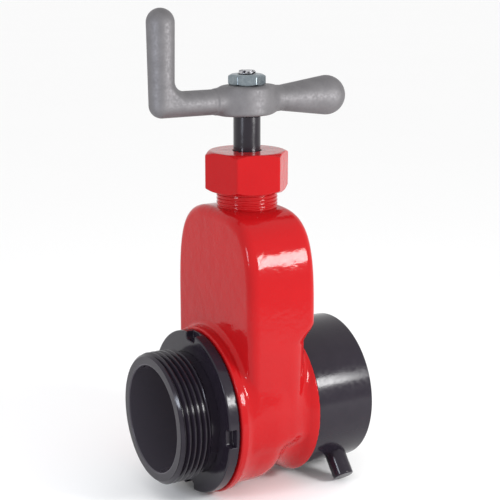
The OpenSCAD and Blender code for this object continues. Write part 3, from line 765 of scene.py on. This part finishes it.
def handle_nut(x, y, z):
    """The plated nut on the stud, more chamfered at its top than at its foot."""
    edge, face_edge = 0.3, 0.25
    out = np.hypot(x, y)
    bar = hexagon(x, y, CAP_HALF, 0, edge)
    bar = meet(bar, chamfer(out, z - CAP_TOP, CAP_TOP_TRIM_R), edge)
    bar = meet(bar, chamfer(out, CAP_FOOT - z, CAP_FOOT_TRIM_R), edge)
    bar = meet(bar, between(z, CAP_FOOT, CAP_TOP), face_edge)
    return cut(bar, out - STUD_R, edge)


shown_field("packing_nut_dressed", packing_nut, span("packing_nut"), 0.62, "valve", RED,
            ["packing_nut"])
shown_field("handle_nut_dressed", handle_nut, span("handle_nut"), 0.3, "crank", ZINC,
            ["handle_nut"])


# ---- crank ----

HUB_H = 17.4
HUB_R = 14
ARM_R = 7.3
ARM_Z = CAP_FOOT - HUB_H / 2
SWELL = 1.4
SWELL_RUN = 22
GRIP_R = 8.0
GRIP_X = crank_low.x + GRIP_R
GRIP_TOP = crank_high.z
WEIGHT_X = 18
WEIGHT_R = 6.9
BULB_R = 11.8
BULB_END = crank_high.x
ELBOW_FILLET = 6.5
HUB_FILLET = 7.0
SQUARE_HALF = 6


def crank(x, y, z):
    """One casting: upright grip, arm, swollen hub and bulb-ended counterweight."""
    swell_edge, boss_edge, face_edge = 0.8, 2.5, 1.0
    hub_blend, weight_blend = 1.2, 1.0
    bend_start, bend_end = 4, 14
    up = z - ARM_Z
    across_grip = np.hypot(x - GRIP_X, y)
    across_arm = np.hypot(y, up)
    faces = np.abs(up) - HUB_H / 2
    grip = round_cone(across_grip, up, ARM_R, GRIP_R, GRIP_TOP - GRIP_R - ARM_Z)
    arm = round_cone(across_arm, x - GRIP_X, ARM_R, ARM_R, -GRIP_X)
    swell_r = ARM_R + SWELL * (1 - (x / SWELL_RUN) ** 2)
    swelling = meet(across_arm - swell_r, np.abs(x) - SWELL_RUN, swell_edge)
    boss = meet(np.hypot(x, y) - HUB_R, faces, boss_edge)
    hub = meet(join(swelling, boss, HUB_FILLET), faces, face_edge)
    weight = round_cone(across_arm, x - WEIGHT_X, WEIGHT_R, BULB_R, BULB_END - BULB_R - WEIGHT_X)
    inside = ease(x - GRIP_X + up, bend_start, bend_end)
    bent = join(grip, arm, ELBOW_FILLET * inside)
    whole = join(join(bent, hub, hub_blend), weight, weight_blend)
    square_hole = np.maximum(np.abs(x), np.abs(y)) - SQUARE_HALF
    return np.maximum(whole, -square_hole)


shown_field("crank_casting", crank, span("crank_handle"), 0.7, "crank", ALUMINIUM,
            ["crank_handle"])


# ---- stem ----

DRIVE_PITCH = 6.35
DRIVE_DEPTH = 1.27
COLLAR_FOOT = NECK_TOP - 22.95
COLLAR_H = 4
COLLAR_R = 11.7
SHOULDER_Z = CAP_FOOT - HUB_H - 0.5
STUD_PITCH = 1.954
STUD_DEPTH = 0.7
STUD_CORE_R = STUD_R - STUD_DEPTH
AXIS_R = 0.01
END_H = 1.2


def stem():
    """Threaded foot, thrust collar, plain shaft and the stud's core up into the crank's nut."""
    thread_top, relief_top = COLLAR_FOOT - 12, COLLAR_FOOT - 11
    collar_top, core_top = COLLAR_FOOT + COLLAR_H, CAP_TOP - 1
    wrap = [(relief_top, STEM_R), (COLLAR_FOOT, STEM_R), (COLLAR_FOOT, COLLAR_R, 0.4),
            (collar_top, COLLAR_R, 0.4), (collar_top, STEM_R), (SHOULDER_Z, STEM_R, 0.3),
            (SHOULDER_Z, STUD_CORE_R), (core_top, STUD_CORE_R), (core_top, AXIS_R),
            (STEM_FOOT, AXIS_R)]
    return threaded("stem_dressed", THREAD, STEM_BLACK, STEM_R - DRIVE_DEPTH, 1, DRIVE_DEPTH,
                    DRIVE_PITCH, STEM_FOOT, thread_top, -1.0, 0.0, wrap, crest=0.37, columns=96)


def stud():
    """Threaded end of the stem, seen above the crank's nut."""
    foot, end = CAP_TOP - 0.6, STUD_TOP - 0.3
    wrap = [(end, AXIS_R), (foot, AXIS_R)]
    return threaded("stud", THREAD, WORN_STUD, STUD_CORE_R, 1, STUD_DEPTH, STUD_PITCH,
                    foot, end, 0.0, 0.0, wrap, crest=0.2, columns=72)


def stud_end(x, y, z):
    """The stud's end face, with two punch marks that stop the nut from turning off."""
    rim, edge = 0.75, 0.3
    mark_x, mark_y, mark_size, mark_slope = 2.2, 0.8, 1.5, 0.7
    disc = meet(np.hypot(x, y) - STUD_R + rim, between(z, STUD_TOP - END_H, STUD_TOP), edge)
    for side in (-1, 1):
        off_mark = np.hypot(x - side * mark_x, y + side * mark_y)
        disc = np.maximum(disc, mark_slope * (mark_size - off_mark - (STUD_TOP - z)))
    return disc


shown("stem_dressed", stood_up(stem()), "crank", STEM_BLACK, ["stem"])
shown("stud", stood_up(stud()), "crank", WORN_STUD, ["stem"])
end_box = (Vector((-STUD_R, -STUD_R, STUD_TOP - END_H)),
           Vector((STUD_R, STUD_R, STUD_TOP)))
shown_field("stud_end", stud_end, end_box, 0.25, "crank", WORN_STUD, ["stem"])


# ---- outlet nozzle and its spanner flange ----

FLANGE_FRONT = -OUTLET_HUB - 7.8
FLANGE_R = RIM_R - 1.1
FLANGE_BORE_R = 36.2
SLOT_ANGLE = -2
SLOT_W = 10.5
SLOT_DEPTH = 4.8
SLOT_RUN = 4.6
SLOT_FILLET = 2.2
THREAD_STOP = FLANGE_FRONT - 4.8
RELIEF_R = ROOT_R - 0.4


def nozzle():
    """The outlet's tube: thread, bore and the spigot that fills the casting's socket."""
    inner_end, under_flange = -SEAT_BACK - 0.4, FLANGE_FRONT + 1
    wrap = [(under_flange, RELIEF_R), (under_flange, SPIGOT_R), (inner_end, SPIGOT_R, 0.6),
            (inner_end, BORE_R, 0.4), (-OUTLET_END, BORE_R, 0.8)]
    return threaded("nozzle", THREAD, BLACK, ROOT_R, 1, THREAD_DEPTH, THREAD_PITCH,
                    -OUTLET_END, THREAD_STOP, 0.2, RELIEF_R - ROOT_R, wrap)


def spanner_flange(x, y, z):
    """Round flange with a bevelled back edge and four round-bottomed slots for a spanner."""
    slots, back_gap, bevel, slant = 4, 0.3, 1.7, 0.707
    front_edge, back_edge, cut_edge = 0.7, 0.2, 0.3
    out = np.hypot(y, z)
    disc = meet(out - FLANGE_R, FLANGE_FRONT - x, front_edge)
    disc = meet(disc, x + OUTLET_HUB + back_gap, back_edge)
    disc = np.maximum(disc, (out - FLANGE_R + x + OUTLET_HUB + bevel) * slant)
    for k in range(slots):
        a = math.radians(SLOT_ANGLE + 90 * k)
        outward = -y * math.cos(a) + z * math.sin(a)
        sideways = y * math.sin(a) + z * math.cos(a)
        slot = meet(np.abs(sideways) - SLOT_W / 2, FLANGE_R - SLOT_DEPTH - outward, SLOT_FILLET)
        slot = np.maximum(slot, x - FLANGE_FRONT - SLOT_RUN)
        disc = cut(disc, slot, cut_edge)
    return cut(disc, out - FLANGE_BORE_R, cut_edge)


shown("nozzle", nozzle(), "valve", BLACK, ["outlet_adapter"])
flange_box = (Vector((FLANGE_FRONT, -FLANGE_R, -FLANGE_R)),
              Vector((-OUTLET_HUB, FLANGE_R, FLANGE_R)))
shown_field("spanner_flange", spanner_flange, flange_box, 0.75, "valve", BLACK,
            ["outlet_adapter"])


# ---- inlet: sleeve, swivel, lugs, gasket ----

SLEEVE_R = 36.3
SWIVEL_GAP = 0.05
RACE_X = INLET_HUB + 7
RACE_R = 2.43
RECESS_FLOOR = SWIVEL_END - 21.3
SWIVEL_THREAD_FOOT = RECESS_FLOOR + 3.8
LUG_X = SWIVEL_END - 16
LUG_R = 6.35
LUG_FOOT = SWIVEL_R - 3
LUG_TIP = 59.7
LUG_ANGLE = 49.8


def race(wall_r, side):
    """A half-round profile at the balls' race, on a wall of radius wall_r. It stands away from
    the axis where side is 1, and towards it where side is -1."""
    turn = np.linspace(0, math.pi, 9)
    return [(RACE_X - RACE_R * math.cos(t), wall_r + side * RACE_R * math.sin(t)) for t in turn]


def sleeve():
    """The inlet's tube, on which the swivel turns."""
    outline = soft([(SEAT_BACK, BORE_R, 0.4), (SEAT_BACK, SPIGOT_R, 0.5), (INLET_HUB, SPIGOT_R),
                    (INLET_HUB, SLEEVE_R)] + race(SLEEVE_R, 1)
                   + [(SLEEVE_END, SLEEVE_R, 0.8), (SLEEVE_END, BORE_R, 0.8)])
    return weld("sleeve", [turned("sleeve", outline)])


def swivel():
    """The turning ring: bored over the sleeve at its back, threaded for a hose at its mouth."""
    base = CREST_R + THREAD_ROOM
    bore = SLEEVE_R + SWIVEL_GAP
    wrap = ([(SWIVEL_END, SWIVEL_R, 1.0), (SWIVEL_BACK, SWIVEL_R, 1.0), (SWIVEL_BACK, bore, 0.4)]
            + race(bore, -1) + [(RECESS_FLOOR, bore, 0.4), (RECESS_FLOOR, base)])
    return threaded("swivel", THREAD, BLACK, base, -1, THREAD_DEPTH, THREAD_PITCH,
                    SWIVEL_THREAD_FOOT, SWIVEL_END, 0.0, -THREAD_DEPTH, wrap)


def lug(number):
    """A round lug on the swivel; number 0 is on the near side, 1 is half a turn on."""
    outline = soft([(LUG_FOOT, AXIS_R), (LUG_FOOT, LUG_R), (LUG_TIP, LUG_R, 0.9),
                    (LUG_TIP, AXIS_R)])
    mesh = weld("lug", [turned("lug", outline, 64)])
    mesh.transform(Matrix.Rotation(math.radians(180 * number + LUG_ANGLE), 4, "X")
                   @ Matrix.Translation((LUG_X, 0, 0))
                   @ Matrix.Rotation(math.radians(-90), 4, "Z"))
    return mesh


def gasket():
    """The flat washer at the bottom of the swivel's mouth."""
    low, high = span("swivel_gasket")
    inner = BORE_R + 0.4
    outline = soft([(low.x, inner), (low.x, high.y), (high.x, high.y, 0.5), (high.x, inner, 0.5)])
    return weld("gasket", [turned("gasket", outline)])


shown("sleeve", sleeve(), "valve", BLACK, ["inlet_adapter"])
shown("swivel_dressed", swivel(), "swivel", BLACK, ["swivel_ring"])
for number, node in enumerate(["swivel_lug_front", "swivel_lug_back"]):
    shown(node + "_dressed", lug(number), "swivel", BLACK, [node])
shown("gasket", gasket(), "swivel", RUBBER, ["swivel_gasket"])


# ---- CAD nodes that keep their own shape ----

KEPT = {"seat_ring_outlet": BRONZE, "seat_ring_inlet": BRONZE, "gate": BRONZE, "gate_nut": BRONZE,
        "packing_gland": BRONZE, "packing": YARN, "swivel_balls": STEEL, "ball_plug": BLACK}
for node, finish in KEPT.items():
    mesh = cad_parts[node].data
    mesh.materials.clear()
    mesh.materials.append(finish)


# ---- stage, lights and camera ----

AIM = Vector((STEM_X + 2.08 * MM, 0, 94.06 * MM))
CAMERA_TURN = math.radians(-30.29)
CAMERA_RISE = math.radians(13.26)
CAMERA_AWAY_MM = 745.67
LENS_MM, SENSOR_MM = 90.05, 36
FLOOR_HALF = 9


def area_light(name, place_mm, width, height, watts, colour=(1, 1, 1)):
    """A soft light at a place measured from the stem's axis; it faces the middle of the valve.
    Width and height are in metres."""
    data = bpy.data.lights.new(name, "AREA")
    data.color = colour
    data.shape, data.size, data.size_y, data.energy = "RECTANGLE", width, height, watts
    light = bpy.data.objects.new(name, data)
    light.location = Vector(place_mm) * MM + Vector((STEM_X, 0, 0))
    light.rotation_euler = (AIM - light.location).to_track_quat("-Z", "Y").to_euler()
    light.visible_camera = False
    bpy.context.scene.collection.objects.link(light)


area_light("key", (222, -396, 190), width=0.13, height=0.09, watts=1.6)
area_light("window", (-423, -153, 190), width=0.06, height=0.12, watts=0.65,
           colour=(0.82, 0.88, 1.0))

floor_corners = [(-FLOOR_HALF, -FLOOR_HALF, 0), (FLOOR_HALF, -FLOOR_HALF, 0),
                 (FLOOR_HALF, FLOOR_HALF, 0), (-FLOOR_HALF, FLOOR_HALF, 0)]
floor_mesh = new_mesh("floor", floor_corners, [(0, 1, 2, 3)])
floor_mesh.materials.append(pale_floor())
floor = bpy.data.objects.new("floor", floor_mesh)
floor.location.z = cad_box[0].z
bpy.context.scene.collection.objects.link(floor)

world = bpy.data.worlds.new("studio")
world.use_nodes = True
world.node_tree.nodes["Background"].inputs["Color"].default_value = (1, 1, 1, 1)
world.node_tree.nodes["Background"].inputs["Strength"].default_value = 1.0
bpy.context.scene.world = world
bpy.context.scene.view_settings.view_transform = "Standard"

camera_data = bpy.data.cameras.new("camera")
camera_data.lens, camera_data.sensor_width = LENS_MM, SENSOR_MM
camera = bpy.data.objects.new("camera", camera_data)
level = math.cos(CAMERA_RISE)
away = Vector((math.sin(CAMERA_TURN) * level, -math.cos(CAMERA_TURN) * level,
               math.sin(CAMERA_RISE)))
camera.location = AIM + away * CAMERA_AWAY_MM * MM
camera.rotation_euler = (-away).to_track_quat("-Z", "Y").to_euler()
bpy.context.scene.collection.objects.link(camera)
bpy.context.scene.camera = camera
